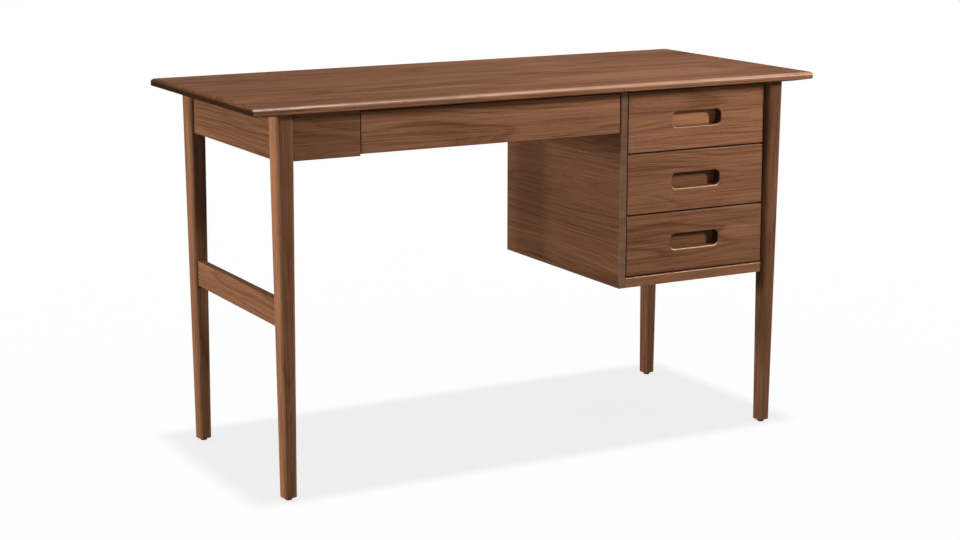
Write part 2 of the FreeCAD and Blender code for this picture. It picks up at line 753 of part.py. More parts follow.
def make_runners():
    """Runners under every drawer's sides, guides along the right panel, and stops behind the boxes."""
    y = mirrored_span("places.rail_end_y")
    stop_y = ("places.stop_near", "places.stop_far")
    left_x = offset_span("places.case_inside", 1, "sizes.runner_width")
    right_x = ("places.leg_inner_x - sizes.runner_width", "places.case_right")
    right_stop_x = offset_span("places.leg_inner_x", -1, "sizes.runner_width")
    guide_x = ("places.leg_inner_x", "places.case_right")
    left, right, guides, stops = [], [], [], []
    for number in range(DRAWER_COUNT):
        below = f"{box_low(number - 1)} + places.box_height + sizes.kick_gap"
        top = f"({box_low(number)} - sizes.running_gap)"
        z = (below if number else "places.case_floor", top)
        left.append(box("runner", left_x, y, z))
        right.append(box("runner", right_x, y, z))
        guides.append(box("guide", guide_x, y, offset_span(top, 1, "sizes.guide_height")))
        for stop_x in (left_x, right_stop_x):
            stops.append(box("stop", stop_x, stop_y, offset_span(top, 1, "sizes.stop_height")))
    pencil_top = "(places.pencil_box_low - sizes.running_gap)"
    pencil = []
    for runner_x in (offset_span("places.panel_end", 1, "sizes.runner_width"),
                     offset_span("places.case_left", -1, "sizes.runner_width")):
        pencil.append(box("runner", runner_x, y, offset_span(pencil_top, -1, "sizes.pencil_runner_height")))
        stops.append(box("stop", runner_x, stop_y, offset_span(pencil_top, 1, "sizes.stop_height")))
    for label, things in (("case_runners_left", left), ("case_runners_right", right),
                          ("case_guides", guides), ("pencil_runners", pencil), ("drawer_stops", stops)):
        node(label, group(label, things))


# What holds the top

def screwed_up(label, pieces):
    """Name a piece, or a group of pieces, once its screw holes are made and its screws are placed."""
    finished = []
    for blank, x, y, z, along, count in pieces:
        low, high = z
        length = f"(({high}) - ({low}) + sizes.screw_bite)"
        holes = []
        for number in range(count):
            share = (number + 0.5) / count
            place = {"x": middle_of(x), "y": middle_of(y)}
            start, end = {"x": x, "y": y}[along]
            place[along] = f"({start}) + {share} * (({end}) - ({start}))"
            screw, hole = screw_and_hole("top_screw", length, place["x"], place["y"], low)
            top_screws.append(screw)
            holes.append(hole)
        top_holes.extend(holes)
        finished.append(cut(label + "_piece", blank, holes))
    node(label, finished[0] if len(finished) == 1 else group(label, finished))


def make_cleats():
    """Square strips inside the aprons that the top is screwed to."""
    z = ("places.cleat_low", "places.underside")
    corner_x = ("places.cleat_right", "places.divider_left")
    back_y = ("places.cleat_near_y", "places.apron_inner_y")
    spans = [(("places.cleat_left", "places.cleat_right"), mirrored_span("places.rail_end_y"), "y", 2),
             (corner_x, mirrored(-1, *back_y), "x", 1),
             (corner_x, back_y, "x", 1),
             (("places.panel_end", "places.case_left"), back_y, "x", 2)]
    screwed_up("top_cleats", [(box("cleat", x, y, z), x, y, z, along, count)
                              for x, y, along, count in spans])


def make_top():
    """The top: an under-bevelled slab with a rounded edge, kept inside a block with rounded corners."""
    across = mirrored_span("sizes.desk_width / 2")
    deep = mirrored_span("sizes.desk_depth / 2")
    flat = (mirrored_span("sizes.desk_width / 2 - sizes.top_bevel_reach"),
            mirrored_span("sizes.desk_depth / 2 - sizes.top_bevel_reach"))
    bevelled = new_body("desk_top_bevelled")
    pad(bevelled, "z", ("places.top_edge_low", "sizes.desk_height"), rectangle(across, deep))
    bevel = taper(bevelled, ("places.underside", "places.top_edge_low"), flat, (across, deep))
    fillet(bevelled, bevel, "sizes.top_edge_round", lambda edge: lies_at(edge, "z", "sizes.desk_height"))
    cornered = new_body("desk_top_cornered")
    block = pad(cornered, "z", ("places.underside", "sizes.desk_height"), rectangle(across, deep))
    fillet(cornered, block, "sizes.top_corner_round", lambda edge: runs_along(edge, "z"))
    slab = doc.addObject("Part::Common", "desk_top_slab")
    slab.Base = bevelled
    slab.Tool = cornered
    node("desk_top", cut("desk_top", slab, top_holes))
    node("top_screws", group("top_screws", top_screws))


make_left_end()
make_kneehole_rails()
make_case_bottom()
make_case_rails()
make_case_back()
make_case_sides()
for leg_label, leg_sides in LEGS.items():
    make_leg(leg_label, *leg_sides)
make_glides()
make_drawers()
make_runners()
make_cleats()
make_top()
doc.recompute()

# Every object has to be sound before anything is written
for thing in doc.Objects:
    if "Invalid" in thing.State or "Error" in thing.State:
        raise RuntimeError(f"{thing.Name} ({thing.Label}) failed: {thing.State}")
for thing in nodes:
    if thing.Shape.isNull() or not thing.Shape.isValid() or not thing.Shape.Solids:
        raise RuntimeError(f"{thing.Label} has no sound shape")

os.makedirs("parts", exist_ok=True)
for thing in nodes:
    thing.Shape.exportStep(f"parts/{thing.Label}.step")
print(f"{len(nodes)} sub-parts written")
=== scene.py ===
import json
import math
import random

import bmesh
import bpy
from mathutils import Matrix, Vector


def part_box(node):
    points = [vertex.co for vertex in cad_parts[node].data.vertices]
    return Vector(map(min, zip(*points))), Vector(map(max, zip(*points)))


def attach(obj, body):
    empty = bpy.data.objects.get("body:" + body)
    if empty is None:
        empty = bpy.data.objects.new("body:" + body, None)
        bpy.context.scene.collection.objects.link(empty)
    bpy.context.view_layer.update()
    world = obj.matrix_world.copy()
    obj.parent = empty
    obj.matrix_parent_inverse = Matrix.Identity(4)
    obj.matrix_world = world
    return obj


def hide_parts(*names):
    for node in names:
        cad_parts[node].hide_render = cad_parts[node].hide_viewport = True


# A walnut writing desk: finished wood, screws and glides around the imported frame.
# Everything is in metres, in the frame's own place: +X right, +Y back, +Z up.
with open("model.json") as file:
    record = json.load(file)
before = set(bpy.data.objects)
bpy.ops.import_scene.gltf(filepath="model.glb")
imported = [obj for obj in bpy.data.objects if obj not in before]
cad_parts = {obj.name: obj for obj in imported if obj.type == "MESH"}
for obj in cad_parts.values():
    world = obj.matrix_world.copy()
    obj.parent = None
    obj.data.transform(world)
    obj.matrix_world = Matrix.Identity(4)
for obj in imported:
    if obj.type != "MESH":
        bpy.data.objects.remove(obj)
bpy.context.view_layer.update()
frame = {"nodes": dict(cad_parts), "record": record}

MILLIMETRE = 0.001
QUARTER_TURN = math.pi / 2
AXES = "xyz"
WHITE = (1, 1, 1, 1)

# The middle of anything that runs from 0 to 1
MIDDLE_SHARE = 0.5

bodies = frame["record"]["behaviour"]["bodies"]
body_of = {node: body for body, nodes in bodies.items() for node in nodes}
slot_of = {part["node"]: part["material_slot"] for part in frame["record"]["subparts"]}
openings = {opening["name"]: opening["box_m"] for opening in frame["record"]["physics"]["openings"]}


# Node sheets and shader maths

class Wire:
    """One output socket of a node sheet. Arithmetic on it adds Math nodes."""

    def __init__(self, sheet, socket):
        self.sheet = sheet
        self.socket = socket

    def maths(self, operation, *terms):
        inputs = dict(enumerate(terms))
        return self.sheet.add("ShaderNodeMath", {"operation": operation}, inputs)

    def __add__(self, other):
        return self.maths("ADD", self, other)

    __radd__ = __add__

    def __sub__(self, other):
        return self.maths("SUBTRACT", self, other)

    def __rsub__(self, other):
        return self.maths("SUBTRACT", other, self)

    def __mul__(self, other):
        return self.maths("MULTIPLY", self, other)

    __rmul__ = __mul__

    def __truediv__(self, other):
        return self.maths("DIVIDE", self, other)

    def __abs__(self):
        return self.maths("ABSOLUTE", self)

    def larger(self, other):
        return self.maths("MAXIMUM", self, other)

    def whole(self):
        return self.maths("FLOOR", self)

    def rest(self):
        return self.maths("FRACT", self)

    def sine(self):
        return self.maths("SINE", self)

    def step(self, low, high):
        """Climb smoothly from 0 at low to 1 at high; with low above high it falls instead."""
        inputs = {"Value": self, "From Min": low, "From Max": high}
        return self.sheet.add("ShaderNodeMapRange", {"interpolation_type": "SMOOTHSTEP"}, inputs)


class NodeSheet:
    """A node tree that grows one node at a time."""

    def __init__(self, tree):
        self.tree = tree
        tree.nodes.clear()

    def add(self, kind, settings=None, inputs=None, output=0):
        """Add a node, set its settings, fill or link its inputs, and give one of its outputs."""
        node = self.tree.nodes.new(kind)
        for name, value in (settings or {}).items():
            if name == "stops":
                self.set_stops(node.color_ramp, value)
            else:
                setattr(node, name, value)
        for name, value in (inputs or {}).items():
            if isinstance(value, Wire):
                self.tree.links.new(value.socket, node.inputs[name])
            else:
                node.inputs[name].default_value = value
        return Wire(self, node.outputs[output]) if len(node.outputs) else None

    def set_stops(self, ramp, stops):
        while len(ramp.elements) < len(stops):
            ramp.elements.new(1)
        for element, (place, colour) in zip(ramp.elements, stops):
            element.position = place
            element.color = (*colour, 1)

    def vector(self, operation, *terms, output=0):
        return self.add("ShaderNodeVectorMath", {"operation": operation}, dict(enumerate(terms)), output)

    def joined(self, x, y, z):
        return self.add("ShaderNodeCombineXYZ", inputs={"X": x, "Y": y, "Z": z})

    def parts(self, vector):
        first = self.add("ShaderNodeSeparateXYZ", inputs={0: vector})
        return [Wire(self, socket) for socket in first.socket.node.outputs]

    def noise(self, place, pitch, detail=2):
        """Noise from 0 to 1, with its features as large as pitch along each axis, in metres."""
        scaled = self.vector("DIVIDE", place, pitch)
        return self.add("ShaderNodeTexNoise", inputs={"Vector": scaled, "Scale": 1, "Detail": detail},
                        output="Fac")

    def swing(self, place, pitch, detail=2):
        """Noise to both sides of 0."""
        return self.noise(place, pitch, detail) - MIDDLE_SHARE

    def mixed(self, share, first, second):
        """A colour between two others. The Mix node numbers its sockets for colours 6, 7 and 2."""
        inputs = {0: share, 6: first, 7: second}
        return self.add("ShaderNodeMix", {"data_type": "RGBA"}, inputs, output=2)


# How squarely a surface faces along an axis where a rounded edge begins, and where it is full
EDGE_SHARES = (0.985, 0.88)


class Finish(NodeSheet):
    """A material with one principled shader."""

    def __init__(self, name):
        self.material = bpy.data.materials.new(name)
        self.material.use_nodes = True
        super().__init__(self.material.node_tree)
        self.place = self.add("ShaderNodeTexCoord", output="Object")
        self.facing = self.add("ShaderNodeTexCoord", output="Normal")

    def edge(self):
        """1 on a rounded edge, where the surface faces along none of the axes."""
        x, y, z = self.parts(self.facing)
        squarest = abs(x).larger(abs(y)).larger(abs(z))
        return squarest.step(*EDGE_SHARES)

    def shade(self, inputs, height, relief):
        """End in the principled shader, with a bump of the given height, and give the material."""
        bump = self.add("ShaderNodeBump", inputs={"Height": height, "Strength": 1, "Distance": relief})
        shader = self.add("ShaderNodeBsdfPrincipled", inputs={**inputs, "Normal": bump})
        self.add("ShaderNodeOutputMaterial", inputs={"Surface": shader})
        return self.material


# Woods

WALNUT_SHADES = (
    (0.0, (0.042, 0.015, 0.007)),
    (0.3, (0.118, 0.050, 0.024)),
    (0.55, (0.190, 0.084, 0.043)),
    (0.8, (0.258, 0.121, 0.062)),
    (1.0, (0.350, 0.185, 0.096)),
)
MAPLE_SHADES = (
    (0.0, (0.300, 0.175, 0.085)),
    (0.4, (0.480, 0.320, 0.180)),
    (0.7, (0.560, 0.400, 0.240)),
    (1.0, (0.640, 0.480, 0.310)),
)
# A pale colour painted on the slot's lower lip as a painted highlight
SLOT_LIP_HIGHLIGHT_COLOUR = (0.56, 0.35, 0.20, 1)


class Wood:
    """What sets one kind of wood apart: its colours, its year rings, its pores and its finish."""

    def __init__(self, shades, ring, ring_share, pore_share, roughness):
        self.shades = shades
        self.ring = ring
        self.ring_share = ring_share
        self.pore_share = pore_share
        self.roughness = roughness

    def toned(self, tone):
        return [(place, [channel * tone for channel in colour]) for place, colour in self.shades]


WOODS = {
    "walnut": Wood(WALNUT_SHADES, ring=6.5 * MILLIMETRE, ring_share=0.07, pore_share=0.5,
                   roughness=0.58),
    "maple": Wood(MAPLE_SHADES, ring=4 * MILLIMETRE, ring_share=0.12, pore_share=0.12,
                  roughness=0.52),
}


# Boards: how each differs from the others, and where the heart of its log ran

class Look:
    """How one board differs from others of its wood; some tones are painted shade and some pale edges a
    painted highlight.
    """

    def __init__(self, tone=0.9, figure=0.75, wear_and_highlight=0.15, polish=0, coat_index=1.5, lipped=False):
        self.tone = tone
        self.figure = figure
        self.wear_and_highlight = wear_and_highlight
        self.polish = polish
        self.coat_index = coat_index
        self.lipped = lipped


LOOKS = {
    # The top's pale front edge is its wear and a painted highlight
    "desk_top": Look(tone=0.84, figure=1.35, wear_and_highlight=0.75, polish=0.7, coat_index=1.6),
    "leg_front_left": Look(tone=0.72, figure=1.15),
    "leg_back_left": Look(tone=0.57, figure=1.15),
    "leg_front_right": Look(tone=0.54, figure=1.15),
    "leg_back_right": Look(tone=0.5, figure=1.15),
    "side_apron_left": Look(tone=0.42, figure=1.5),
    "side_stretcher_left": Look(tone=0.55, figure=1.2),
    "front_panel_left": Look(tone=0.7, figure=1.1),
    "case_left_panel": Look(tone=0.4, figure=1, wear_and_highlight=0.6, polish=0.35, lipped=True),
    # The case bottom's pale front edge is its wear and a painted highlight
    "case_bottom": Look(wear_and_highlight=1, polish=0.6, coat_index=1.6),
    "pencil_drawer_front": Look(tone=0.98, figure=1.2),
    # The drawer fronts are set darker towards the bottom as painted shade, for light that falls off
    # downwards
    "top_drawer_front": Look(tone=1.02, figure=1.15, wear_and_highlight=0.3, polish=0.4),
    "middle_drawer_front": Look(tone=0.83, figure=1.2, wear_and_highlight=0.3, polish=0.4),
    "bottom_drawer_front": Look(tone=0.72, figure=1.1, wear_and_highlight=0.3, polish=0.4),
    # The box fronts are the floors of the finger slots: the top one set paler as painted light, the
    # lower two darker as painted shade
    "top_drawer_box_front": Look(tone=1.4),
    "middle_drawer_box_front": Look(tone=0.65),
    "bottom_drawer_box_front": Look(tone=0.65),
}

# Grain runs along the longest side of a board, apart from these
GRAINS = {"case_bottom": "x"}

# The heart's place from the board's middle, where the figure needs it; other boards draw it by lot
HEARTS = {
    "front_panel_left": (0, 0.06, -0.03),
    "pencil_drawer_front": (0, 0.09, -0.05),
    "top_drawer_front": (0, 0.10, 0.06),
    "middle_drawer_front": (0, 0.08, -0.04),
    "bottom_drawer_front": (0.05, 0.05, 0.0),
}
HEART_REACH = 90 * MILLIMETRE

# Boards that are glued up from staves
STAVE_WIDTHS = {"desk_top": 92 * MILLIMETRE}


def longest_axis(low, high):
    sides = list(high - low)
    return AXES[sides.index(max(sides))]


def heart_offset(node):
    """The way from a board's middle to the heart line of its log."""
    if node in HEARTS:
        return Vector(HEARTS[node])
    chance = random.Random(node)
    return Vector([chance.uniform(-1, 1) for axis in AXES]).normalized() * HEART_REACH


def finger_slot(node):
    """The lowest and highest corners of the open space in a drawer front's slot, if it has one."""
    opening = openings.get(node.replace("_front", "_finger_slot"))
    return [Vector(corner) for corner in opening] if opening else None


class Board:
    """What a board's finish needs to know about it."""

    def __init__(self, node):
        low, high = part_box(node)
        self.node = node
        self.wood = slot_of[node]
        self.look = LOOKS.get(node, Look())
        self.grain = GRAINS.get(node, longest_axis(low, high))
        self.heart = (low + high) / 2 + heart_offset(node)
        self.front = low.y
        self.stave_width = STAVE_WIDTHS.get(node)
        self.slot = finger_slot(node)


# Wood finish

# A turn that lays the X axis of the log along the grain
GRAIN_TURNS = {"x": (0, 0, 0), "y": (0, 0, QUARTER_TURN), "z": (0, -QUARTER_TURN, 0)}

# Lengths of the grain's features: along the log, and across it both ways; streaks and bands have
# theirs along the log and out from its heart, and none in the third
WANDER_PITCH = (0.75, 0.12, 0.12)
SWAY_PITCH = (0.22, 0.03, 0.03)
PATCH_PITCH = (0.55, 0.07, 0.07)
FIBRE_PITCH = (0.16, 0.0019, 0.0019)
PORE_PITCH = (0.011, 0.00045, 0.00045)
STREAK_PITCH = (0.55, 0.0036, 1)
BAND_PITCH = (1.4, 0.025, 1)
WEAR_PITCH = (0.09, 0.03, 0.03)
WANDER_REACH = 0.07
SWAY_REACH = 0.0056
RELIEF = 0.12 * MILLIMETRE

# Staves: how far apart they were cut along the log, how deep below them its heart lay, and how
# their widths differ
STAVE_SPREAD = 7
STAVE_DROP = 0.7311
UNEVEN_SHARE = 0.16
UNEVEN_RATE = 2.3

# Arms and hands rub a strip this deep along the front of a board; on the top and the case bottom its
# pale colour is also a painted highlight
RUBBED_REACH = 12 * MILLIMETRE

# A slot's walls stand this far outside the open space that the record states for fingers
SLOT_MARGIN = 5 * MILLIMETRE
SLOT_FADE = 1 * MILLIMETRE

# How much each feature shifts the shade
MEAN_SHADE_SHARE = 0.55
STREAK_SHARE = 0.55
BAND_SHARE = 0.28
FIBRE_SHARE = 0.8
PATCH_SHARE = 0.32
STAVE_SHARE = 0.14

# Where each feature starts and is full, as shares of a year's growth, a noise or a facing
LATE_START_SHARES = (0.35, 0.92)
LATE_END_SHARES = (1.0, 0.93)
PORE_SHARES = (0.6, 0.74)
END_GRAIN_SHARES = (0.3, 0.9)
WORN_SHARES = (0.2, 0.6)
SEAM_SHARES = (0.494, 0.5)
LIPPING_SHARES = (-0.5, -0.9)
# Facings that take the slot's painted shade and the lip's painted highlight
SLOT_SHADE_SHARES = (0.6, 0.3)
SLOT_LIP_RISE_SHARES = (0.3, 0.6)
SLOT_LIP_FRONT_SHARES = (-0.31, -0.53)

# How far end grain, seams and the painted shade on slot walls go towards their darker colour
END_GRAIN_DEPTH_SHARE = 0.75
SEAM_DEPTH_SHARE = 0.55
SLOT_SHADE_DEPTH_SHARE = 0.85

# How much each feature roughens or smooths the finish
FIBRE_ROUGHNESS = 0.14
PORE_ROUGHNESS = 0.16
END_ROUGHNESS = 0.15
WORN_SMOOTHNESS = 0.08
PATCH_ROUGHNESS = 0.08
WOOD_SPECULAR_LEVEL = 0.003
COAT_ROUGHNESS = 0.3

# How high fibres stand and how deep pores and late wood lie, as shares of the relief
FIBRE_RELIEF_SHARE = 0.35
PORE_RELIEF_SHARE = 0.9
LATE_RELIEF_SHARE = 0.25


class WoodFinish(Finish):
    """Solid wood: year rings round a heart line, streaks, fibres, pores and worn edges."""

    def __init__(self, board):
        super().__init__(board.node + "_" + board.wood)
        self.board = board
        self.kind = WOODS[board.wood]
        self.look = board.look
        if board.stave_width:
            self.lay_staves()
        else:
            self.lay_log()
        self.grow()
        self.mark_faces()
        if board.slot:
            self.mark_slot()

    def lay_log(self):
        """Find where in its log each point of the board grew."""
        turn = {"Vector": self.place, "Location": self.board.heart,
                "Rotation": GRAIN_TURNS[self.board.grain]}
        self.log = self.add("ShaderNodeMapping", {"vector_type": "TEXTURE"}, turn)
        self.lift = 0

    def lay_staves(self):
        """Find the same in a board of staves along X, each from its own stretch of log."""
        x, y, z = self.parts(self.place)
        width = self.board.stave_width
        steps = y / width
        count = steps + UNEVEN_SHARE * (steps * UNEVEN_RATE).sine()
        across = count.rest() - MIDDLE_SHARE
        chance = self.add("ShaderNodeTexWhiteNoise", {"noise_dimensions": "1D"}, {"W": count.whole()},
                          output="Color")
        first, second, third = self.parts(chance)
        self.log = self.joined(
            x + first * STAVE_SPREAD,
            across * width + (second - MIDDLE_SHARE) * width,
            z + (third + MIDDLE_SHARE) * STAVE_DROP,
        )
        self.lift = (first - MIDDLE_SHARE) * STAVE_SHARE
        self.seam = abs(across).step(*SEAM_SHARES)

    def grow(self):
        """Lay rings round the wandering heart, streaks along the rings, and fibres along the log."""
        along, out, up = self.parts(self.log)
        straight = self.vector("LENGTH", self.joined(0, out, up), output="Value")
        wander = self.swing(self.log, WANDER_PITCH) * WANDER_REACH
        sway = self.swing(self.log, SWAY_PITCH) * SWAY_REACH
        radius = straight + wander + sway
        year = (radius / self.kind.ring).rest()
        self.late = year.step(*LATE_START_SHARES) * year.step(*LATE_END_SHARES)
        ring_place = self.joined(along, radius, 0)
        self.streak = self.swing(ring_place, STREAK_PITCH, detail=4)
        self.band = self.swing(ring_place, BAND_PITCH, detail=1)
        self.fibre = self.swing(self.log, FIBRE_PITCH, detail=3)
        self.patch = self.swing(self.log, PATCH_PITCH)
        self.pore = self.noise(self.log, PORE_PITCH, detail=1).step(*PORE_SHARES)

    def mark_faces(self):
        """Find end grain, which a lipping hides at the front, and the edges that hands rub, whose pale
        colour is also a painted highlight on the top and the case bottom.
        """
        x, y, z = self.parts(self.place)
        depth = y - self.board.front
        facing = dict(zip(AXES, self.parts(self.facing)))
        self.end_grain = abs(facing[self.board.grain]).step(*END_GRAIN_SHARES)
        self.rubbed_and_highlit = self.edge() * depth.step(RUBBED_REACH, RUBBED_REACH / 2)
        if self.look.lipped:
            lipping = facing["y"].step(*LIPPING_SHARES)
            self.end_grain = self.end_grain * (1 - lipping)
            self.rubbed_and_highlit = self.rubbed_and_highlit.larger(lipping)
        # Pale wear on the rubbed edges, which on the top and the case bottom is also a painted highlight
        self.worn_and_highlit = self.rubbed_and_highlit * self.noise(self.place, WEAR_PITCH, detail=3).step(*WORN_SHARES)

    def mark_slot(self):
        """Find a finger slot's upper wall and ends, darkened as painted shade, and its lower lip, paled
        as a painted highlight.
        """
        low, high = self.board.slot
        x, y, z = self.parts(self.place)
        facing_y, facing_z = self.parts(self.facing)[1:]
        inside = 1
        for place, near, far in ((x, low.x, high.x), (z, low.z, high.z)):
            reach = (far - near) / 2 + SLOT_MARGIN
            inside = inside * abs(place - (near + far) / 2).step(reach + SLOT_FADE, reach)
        # Painted shade: the slot's upper wall and ends are darkened where the recess lies in shade
        self.slot_shade = inside * abs(facing_y).step(*SLOT_SHADE_SHARES) * facing_z.step(*SLOT_SHADE_SHARES)
        # Painted highlight: the lip's bevel, which faces up and to the front, is paled where light falls
        # on it
        rising = facing_z.step(*SLOT_LIP_RISE_SHARES)
        self.lip_highlight = inside * rising * facing_y.step(*SLOT_LIP_FRONT_SHARES)
        # The lip's painted highlight also takes the coat and the pale edge colour
        self.rubbed_and_highlit = self.rubbed_and_highlit.larger(self.lip_highlight)

    def colour(self):
        """The wood's own figure, and over it pores, end grain, pale wear that is partly a painted
        highlight, seams, and the slot's painted shade and painted highlight.
        """
        figure = (self.streak * STREAK_SHARE + self.band * BAND_SHARE + self.fibre * FIBRE_SHARE
                  + self.patch * PATCH_SHARE)
        shade = (MEAN_SHADE_SHARE + figure * self.look.figure - self.late * self.kind.ring_share
                 + self.lift)
        shades = self.kind.toned(self.look.tone)
        darkest, dark, palest = [(*shades[number][1], 1) for number in (0, 1, -1)]
        layers = [
            (self.pore * self.kind.pore_share, darkest),
            (self.end_grain * END_GRAIN_DEPTH_SHARE, dark),
            (self.worn_and_highlit * self.look.wear_and_highlight, palest),
        ]
        if self.board.stave_width:
            layers.append((self.seam * SEAM_DEPTH_SHARE, darkest))
        if self.board.slot:
            # The slot's painted shade on its walls and painted highlight on its lip
            layers.append((self.slot_shade * SLOT_SHADE_DEPTH_SHARE, darkest))
            layers.append((self.lip_highlight, SLOT_LIP_HIGHLIGHT_COLOUR))
        colour = self.add("ShaderNodeValToRGB", {"stops": shades}, {"Fac": shade}, output="Color")
        for share, tint in layers:
            colour = self.mixed(share, colour, tint)
        return colour

    def finished(self):
        """The board's material."""
        roughness = (self.kind.roughness + self.fibre * FIBRE_ROUGHNESS + self.pore * PORE_ROUGHNESS
                     + self.end_grain * END_ROUGHNESS - self.worn_and_highlit * WORN_SMOOTHNESS
                     + self.patch * PATCH_ROUGHNESS)
        height = (self.fibre * FIBRE_RELIEF_SHARE - self.pore * PORE_RELIEF_SHARE
                  - self.late * LATE_RELIEF_SHARE)
        sockets = {"Base Color": self.colour(), "Roughness": roughness,
                   "Specular IOR Level": WOOD_SPECULAR_LEVEL}
        if self.look.polish:
            sockets["Coat Weight"] = self.rubbed_and_highlit * self.look.polish
            sockets["Coat Roughness"] = COAT_ROUGHNESS
            sockets["Coat IOR"] = self.look.coat_index
        return self.shade(sockets, height, RELIEF)


# Board shapes: the frame's own, with their loose triangles joined and their arrises eased

MERGE_DISTANCE = 0.005 * MILLIMETRE
FLAT_ANGLE = math.radians(0.4)
ARRIS_ANGLE = math.radians(50)
ARRIS_WIDTH = 0.6 * MILLIMETRE
SHORTEST_ARRIS = 1.6 * MILLIMETRE
ARRIS_STEPS = 2
ROUND_PROFILE_SHARE = 0.5


def whole_mesh(node):
    """A copy of a node's mesh with whole flat faces."""
    mesh = bmesh.new()
    mesh.from_mesh(frame["nodes"][node].data)
    bmesh.ops.remove_doubles(mesh, verts=mesh.verts, dist=MERGE_DISTANCE)
    bmesh.ops.dissolve_limit(mesh, angle_limit=FLAT_ANGLE, verts=mesh.verts, edges=mesh.edges)
    return mesh


def is_arris(edge):
    """A sharp outer edge that is long enough to ease."""
    if len(edge.link_faces) != 2 or not edge.is_convex:
        return False
    return edge.calc_face_angle() > ARRIS_ANGLE and edge.calc_length() > SHORTEST_ARRIS


def ease_arrises(mesh):
    arrises = [edge for edge in mesh.edges if is_arris(edge)]
    bmesh.ops.bevel(mesh, geom=arrises, offset=ARRIS_WIDTH, offset_type="OFFSET", segments=ARRIS_STEPS,
                    profile=ROUND_PROFILE_SHARE, affect="EDGES", clamp_overlap=True)


def new_piece(node):
    """An empty piece that is to stand for a node."""
    name = node + "_finished"
    piece = bpy.data.objects.new(name, bpy.data.meshes.new(name))
    bpy.context.scene.collection.objects.link(piece)
    return piece


def settle(piece):
    """Turn a piece and its modifiers into one plain mesh."""
    graph = bpy.context.evaluated_depsgraph_get()
    solid = bpy.data.meshes.new_from_object(piece.evaluated_get(graph), preserve_all_data_layers=True,
                                            depsgraph=graph)
    piece.modifiers.clear()
    piece.data = solid


def smooth(data):
    """Shade a mesh smoothly, apart from its sharp edges."""
    data.shade_smooth()
    data.set_sharp_from_angle(angle=ARRIS_ANGLE)


def hand_over(piece, node):
    """Let a finished piece stand for a node and move with its body."""
    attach(piece, body_of[node])
    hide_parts(node)


def dress_board(node):
    """A node's board with eased arrises, smooth shading over them and its own finish."""
    mesh = whole_mesh(node)
    ease_arrises(mesh)
    piece = new_piece(node)
    mesh.to_mesh(piece.data)
    mesh.free()
    smooth(piece.data)
    piece.data.materials.clear()
    piece.data.materials.append(WoodFinish(Board(node)).finished())
    normals = piece.modifiers.new("normals", "WEIGHTED_NORMAL")
    normals.keep_sharp = True
    settle(piece)
    hand_over(piece, node)


for node, slot in slot_of.items():
    if slot in WOODS:
        dress_board(node)


# Zinc plate and black plastic

CLOUD_PITCH = (0.003, 0.003, 0.003)
SCRATCH_PITCH = (0.0008, 0.0008, 0.0001)
SCRATCH_RELIEF = 0.03 * MILLIMETRE
DULL_ZINC = (0.42, 0.41, 0.39, 1)
BRIGHT_ZINC = (0.66, 0.66, 0.66, 1)
ZINC_ROUGHNESS = 0.26
CLOUD_ROUGHNESS = 0.2

GRIT_PITCH = (0.0012, 0.0012, 0.0012)
GRIT_RELIEF = 0.04 * MILLIMETRE
GRIT_SHARES = (0.35, 0.7)
SCUFF_HEIGHT = 1.6 * MILLIMETRE
SCUFF_SHARE = 0.7
BLACK_PLASTIC = (0.012, 0.011, 0.010, 1)
SCUFFED_PLASTIC = (0.10, 0.095, 0.09, 1)
PLASTIC_ROUGHNESS = 0.42
SCUFF_ROUGHNESS = 0.3
GRIT_ROUGHNESS = 0.1
PLASTIC_SPECULAR_LEVEL = 0.12


def zinc_plate():
    """Pale metal, a little cloudy, with fine turning marks."""
    finish = Finish("zinc_plate")
    cloud = finish.noise(finish.place, CLOUD_PITCH, detail=3)
    scratch = finish.noise(finish.place, SCRATCH_PITCH)
    colour = finish.mixed(cloud, DULL_ZINC, BRIGHT_ZINC)
    roughness = ZINC_ROUGHNESS + cloud * CLOUD_ROUGHNESS
    sockets = {"Base Color": colour, "Metallic": 1, "Roughness": roughness}
    return finish.shade(sockets, scratch, SCRATCH_RELIEF)


def glide_plastic():
    """Black moulded plastic, scuffed grey where it meets the floor."""
    finish = Finish("glide_plastic")
    x, y, height = finish.parts(finish.place)
    grit = finish.noise(finish.place, GRIT_PITCH, detail=3)
    scuff = height.step(SCUFF_HEIGHT, 0) * grit.step(*GRIT_SHARES)
    colour = finish.mixed(scuff * SCUFF_SHARE, BLACK_PLASTIC, SCUFFED_PLASTIC)
    roughness = PLASTIC_ROUGHNESS + scuff * SCUFF_ROUGHNESS + grit * GRIT_ROUGHNESS
    sockets = {"Base Color": colour, "Roughness": roughness,
               "Specular IOR Level": PLASTIC_SPECULAR_LEVEL}
    return finish.shade(sockets, grit, GRIT_RELIEF)


# Screws and glides

def solid_boxes(node):
    """The lowest and highest corners of each solid of a node."""
    mesh = whole_mesh(node)
    unseen = set(mesh.verts)
    boxes = []
    for start in mesh.verts:
        if start not in unseen:
            continue
        unseen.remove(start)
        reached = [start]
        corners = []
        while reached:
            vert = reached.pop()
            corners.append(vert.co.copy())
            for edge in vert.link_edges:
                other = edge.other_vert(vert)
                if other in unseen:
                    unseen.remove(other)
                    reached.append(other)
        low = Vector([min(values) for values in zip(*corners)])
        high = Vector([max(values) for values in zip(*corners)])
        boxes.append((low, high))
    mesh.free()
    return boxes


